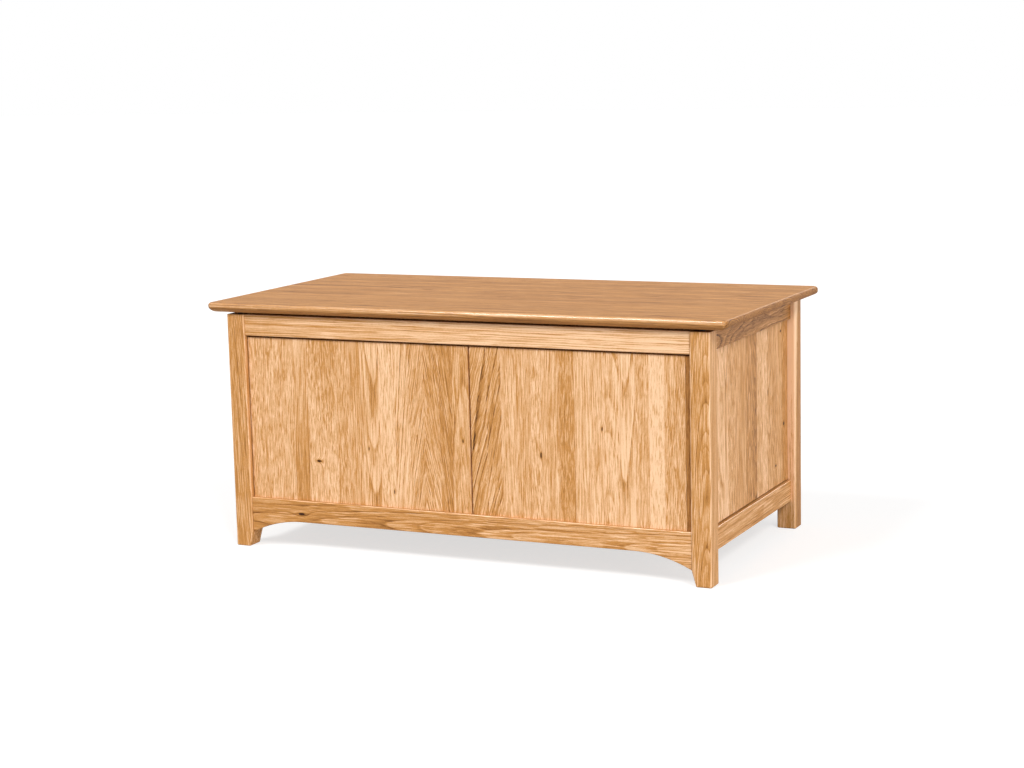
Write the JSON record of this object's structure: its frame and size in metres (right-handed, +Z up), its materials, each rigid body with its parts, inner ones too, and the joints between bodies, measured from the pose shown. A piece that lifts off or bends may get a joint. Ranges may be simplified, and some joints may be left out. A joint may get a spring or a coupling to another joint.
{
  "type": "blanket chest",
  "caption": "Frame-and-panel oak blanket chest: square posts, arched front rail, and a hinged overhanging lid on folding stays.",
  "frame": {"origin": "on the floor, under the middle of the whole chest with its lid and hinge knuckles", "axes": "+X to the chest's own right as seen from the front, along its length; +Y to its back; +Z up"},
  "size_m": [1.1, 0.5674, 0.498],
  "materials": {
    "oak_case": "natural oak under satin lacquer",
    "oak_lid": "natural oak under satin lacquer",
    "oak_inside": "unfinished planed oak",
    "brass": "satin brass",
    "plated_steel": "zinc plated",
    "bumper_rubber": "matt"
  },
  "bodies": {
    "case": {"floor_board_1": "oak_inside", "floor_board_2": "oak_inside", "floor_board_3": "oak_inside", "floor_board_4": "oak_inside", "floor_board_5": "oak_inside", "floor_board_6": "oak_inside", "floor_cleat_screws": "plated_steel", "front_bottom_rail": "oak_case", "front_floor_cleat": "oak_inside", "front_left_panel": "oak_case", "front_left_post": "oak_case", "front_right_panel": "oak_case", "front_right_post": "oak_case", "front_top_rail": "oak_case", "hinge_case_screws": "brass", "left_bottom_rail": "oak_case", "left_floor_cleat": "oak_inside", "left_hinge_case_leaf": "brass", "left_hinge_pin": "brass", "left_side_panel": "oak_case", "left_stay_case_plate": "plated_steel", "left_stay_hub": "plated_steel", "left_top_rail": "oak_case", "lid_bumpers": "bumper_rubber", "rear_bottom_rail": "oak_case", "rear_floor_cleat": "oak_inside", "rear_left_panel": "oak_case", "rear_left_post": "oak_case", "rear_right_panel": "oak_case", "rear_right_post": "oak_case", "rear_top_rail": "oak_case", "right_bottom_rail": "oak_case", "right_floor_cleat": "oak_inside", "right_hinge_case_leaf": "brass", "right_hinge_pin": "brass", "right_side_panel": "oak_case", "right_stay_case_plate": "plated_steel", "right_stay_hub": "plated_steel", "right_top_rail": "oak_case", "stay_case_screws": "plated_steel"},
    "lid": {"lid_slab": "oak_lid", "lid_left_batten": "oak_lid", "lid_right_batten": "oak_lid", "lid_batten_screws": "plated_steel", "left_hinge_lid_leaf": "brass", "right_hinge_lid_leaf": "brass", "hinge_lid_screws": "brass", "left_stay_lid_bracket": "plated_steel", "right_stay_lid_bracket": "plated_steel", "left_stay_lid_rivet": "plated_steel", "right_stay_lid_rivet": "plated_steel", "stay_lid_screws": "plated_steel"},
    "left_lower_arm": {"left_stay_lower_arm": "plated_steel", "left_stay_elbow_rivet": "plated_steel"},
    "left_upper_arm": {"left_stay_upper_arm": "plated_steel"},
    "right_lower_arm": {"right_stay_lower_arm": "plated_steel", "right_stay_elbow_rivet": "plated_steel"},
    "right_upper_arm": {"right_stay_upper_arm": "plated_steel"}
  },
  "joints": [
    {"name": "lid_hinge", "type": "hinge", "parent": "case", "child": "lid", "pos_m": [0, 0.2801, 0.476], "axis": [-1, 0, 0], "range_deg": [0, 95]},
    {"name": "left_lower_arm_pivot", "type": "hinge", "parent": "case", "child": "left_lower_arm", "pos_m": [0, 0.2001, 0.454], "axis": [-1, 0, 0], "range_deg": [0, 95]},
    {"name": "left_upper_arm_pivot", "type": "hinge", "parent": "lid", "child": "left_upper_arm", "pos_m": [0, 0.1301, 0.464], "axis": [-1, 0, 0], "range_deg": [-95, 0]},
    {"name": "right_lower_arm_pivot", "type": "hinge", "parent": "case", "child": "right_lower_arm", "pos_m": [0, 0.2001, 0.454], "axis": [-1, 0, 0], "range_deg": [0, 95]},
    {"name": "right_upper_arm_pivot", "type": "hinge", "parent": "lid", "child": "right_upper_arm", "pos_m": [0, 0.1301, 0.464], "axis": [-1, 0, 0], "range_deg": [-95, 0]}
  ],
  "couplings": [
    {"joint": "left_lower_arm_pivot", "follows": "lid_hinge", "ratio": 1},
    {"joint": "left_upper_arm_pivot", "follows": "lid_hinge", "ratio": -1},
    {"joint": "right_lower_arm_pivot", "follows": "lid_hinge", "ratio": 1},
    {"joint": "right_upper_arm_pivot", "follows": "lid_hinge", "ratio": -1}
  ]
}
